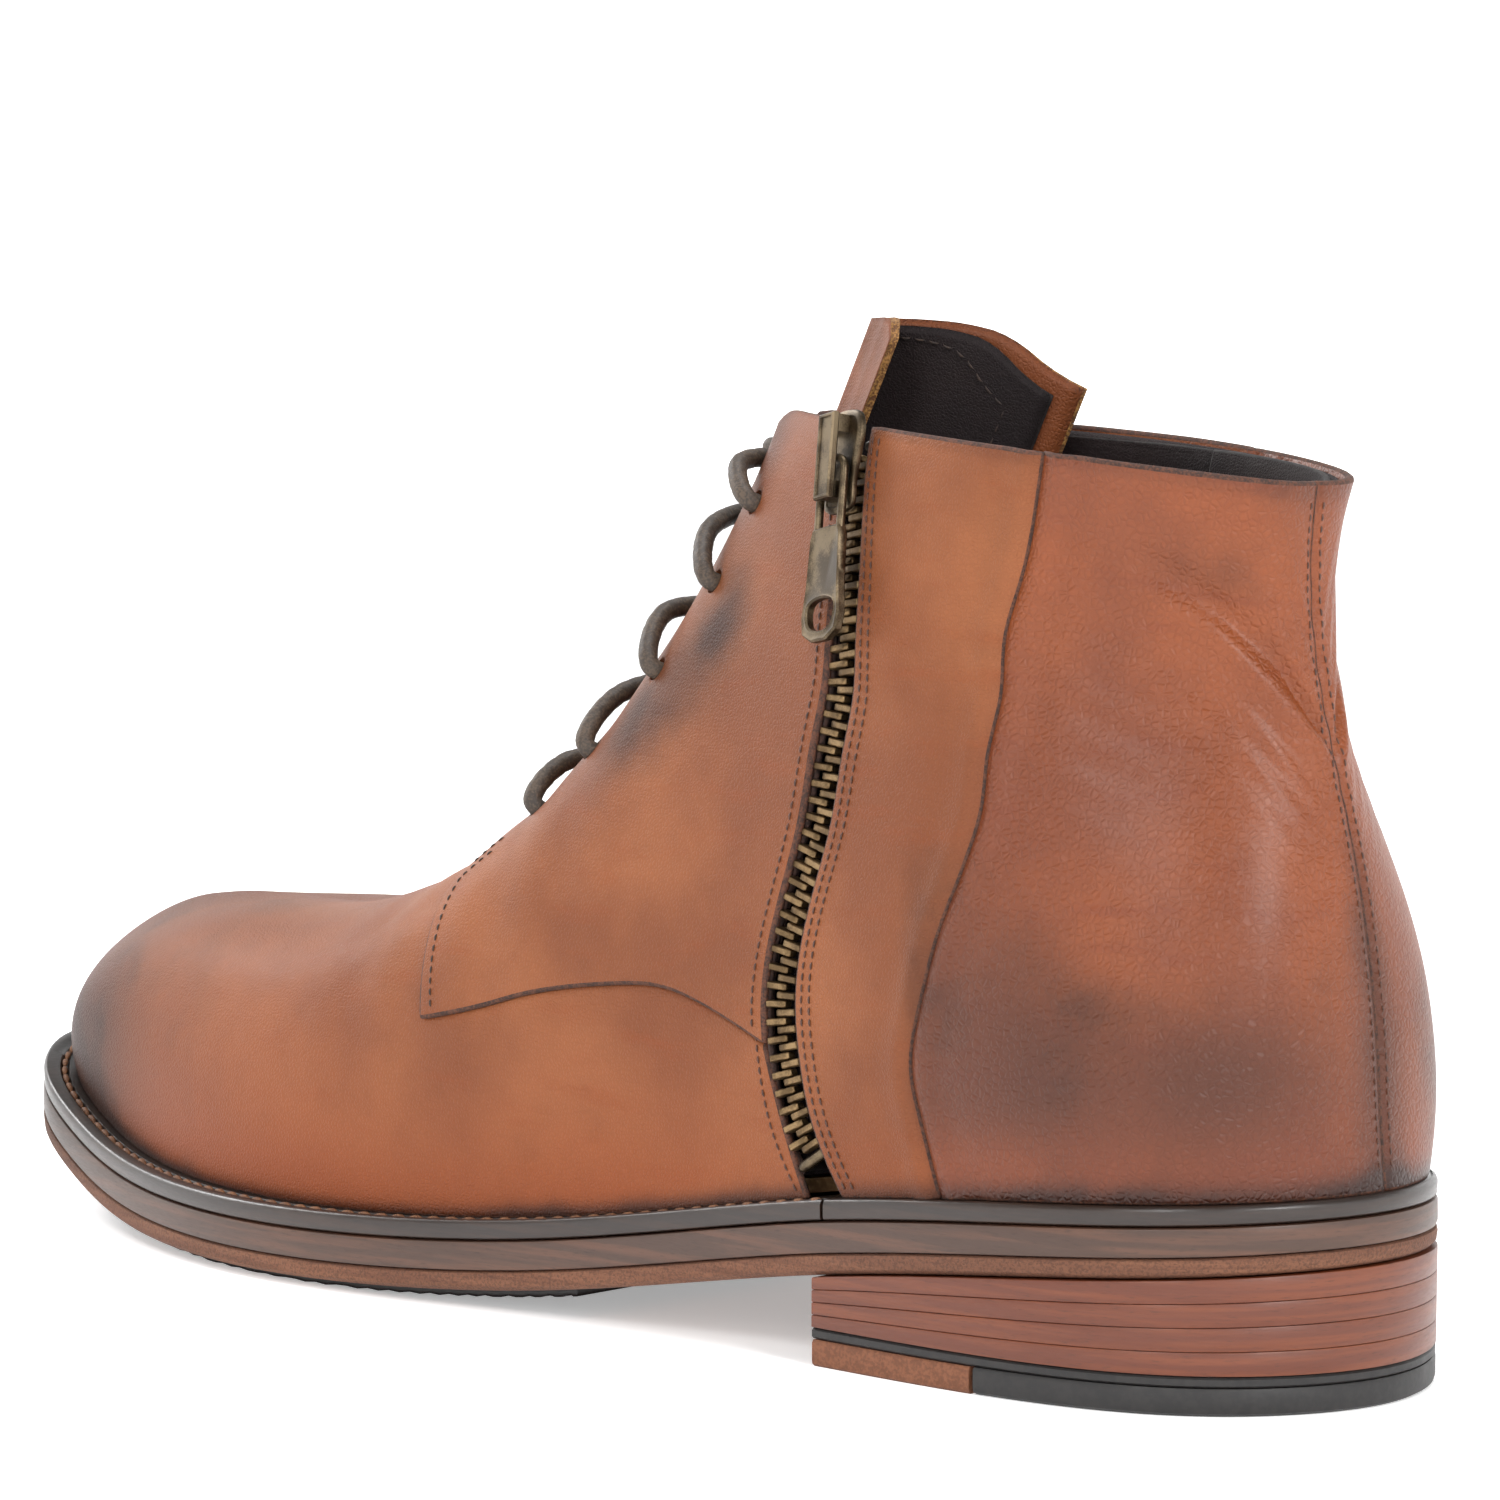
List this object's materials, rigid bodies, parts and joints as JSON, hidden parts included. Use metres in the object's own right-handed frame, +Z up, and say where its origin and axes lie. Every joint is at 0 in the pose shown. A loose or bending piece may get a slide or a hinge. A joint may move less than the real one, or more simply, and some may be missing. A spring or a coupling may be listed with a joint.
{
  "type": "ankle boot",
  "caption": "Right-foot leather ankle boot, laced derby front, zip on the inner side, stacked leather heel and layered welted sole.",
  "frame": {"origin": "middle of the boot's footprint box, on the floor under the sole", "axes": "+X towards the heel, so the toe points to -X; +Z up; +Y towards the outer side of the foot, so the zip is on the -Y side"},
  "size_m": [0.2996, 0.1032, 0.161],
  "materials": {
    "upper_leather": "burnished, semi-gloss",
    "rear_leather": "polished, pebbled grain",
    "lining": "matte, dark",
    "stiffener": "matte",
    "outsole_leather": "bare leather edge, matte",
    "sole_edge": "stained and waxed edge",
    "heel_stack": "waxed stacked leather",
    "rubber": "matte",
    "raw_leather": "matte",
    "cork": "bonded cork, matte",
    "steel": "brushed",
    "zip_tape": "woven tape",
    "zip_metal": "antique, worn edges",
    "eyelet_metal": "antique",
    "lace": "waxed round cord"
  },
  "bodies": {
    "boot": {"vamp": "upper_leather", "quarter_inner": "upper_leather", "quarter_outer": "upper_leather", "zip_side_strip": "upper_leather", "tongue": "upper_leather", "rear_panel_inner": "rear_leather", "rear_panel_outer": "rear_leather", "vamp_lining": "lining", "rear_lining": "lining", "quarter_lining_inner": "lining", "quarter_lining_outer": "lining", "zip_side_lining": "lining", "tongue_lining": "lining", "sock_liner": "lining", "zip_guard": "lining", "toe_puff": "stiffener", "heel_stiffener": "stiffener", "outsole": "outsole_leather", "top_lift_leather": "outsole_leather", "midsole": "sole_edge", "welt": "sole_edge", "heel_rand": "sole_edge", "heel_lift_1": "heel_stack", "heel_lift_2": "heel_stack", "heel_lift_3": "heel_stack", "heel_lift_4": "heel_stack", "half_sole": "rubber", "heel_black_layer": "rubber", "top_lift_rubber": "rubber", "insole": "raw_leather", "cork_filler": "cork", "shank": "steel", "zip_tape_front": "zip_tape", "zip_tape_rear": "zip_tape", "zip_teeth_front": "zip_metal", "zip_teeth_rear": "zip_metal", "zip_bottom_stop": "zip_metal", "zip_top_stop_front": "zip_metal", "zip_top_stop_rear": "zip_metal", "eyelet_inner_1": "eyelet_metal", "eyelet_inner_2": "eyelet_metal", "eyelet_inner_3": "eyelet_metal", "eyelet_inner_4": "eyelet_metal", "eyelet_inner_5": "eyelet_metal", "eyelet_outer_1": "eyelet_metal", "eyelet_outer_2": "eyelet_metal", "eyelet_outer_3": "eyelet_metal", "eyelet_outer_4": "eyelet_metal", "eyelet_outer_5": "eyelet_metal", "lace": "lace", "aglet_inner": "lace", "aglet_outer": "lace"},
    "zip_slider": {"zip_slider": "zip_metal"},
    "zip_pull": {"zip_pull": "zip_metal"},
    "tongue_flap": {"tongue_flap": "upper_leather", "tongue_flap_lining": "lining"}
  },
  "joints": [
    {"name": "zip_slide", "type": "slide", "parent": "boot", "child": "zip_slider", "axis": [0.1128, -0.223, -0.9683], "range_m": [0, 0.034]},
    {"name": "pull_swing", "type": "hinge", "parent": "zip_slider", "child": "zip_pull", "pos_m": [0.06099, -0.02942, 0.1392], "axis": [-0.9465, 0.2725, -0.173], "range_deg": [0, 150]},
    {"name": "tongue_flex", "type": "hinge", "parent": "boot", "child": "tongue_flap", "pos_m": [0.032, -0.0026, 0.1378], "axis": [0, 1, 0], "range_deg": [-22, 0], "stiffness_Nm_per_rad": 0.02}
  ]
}
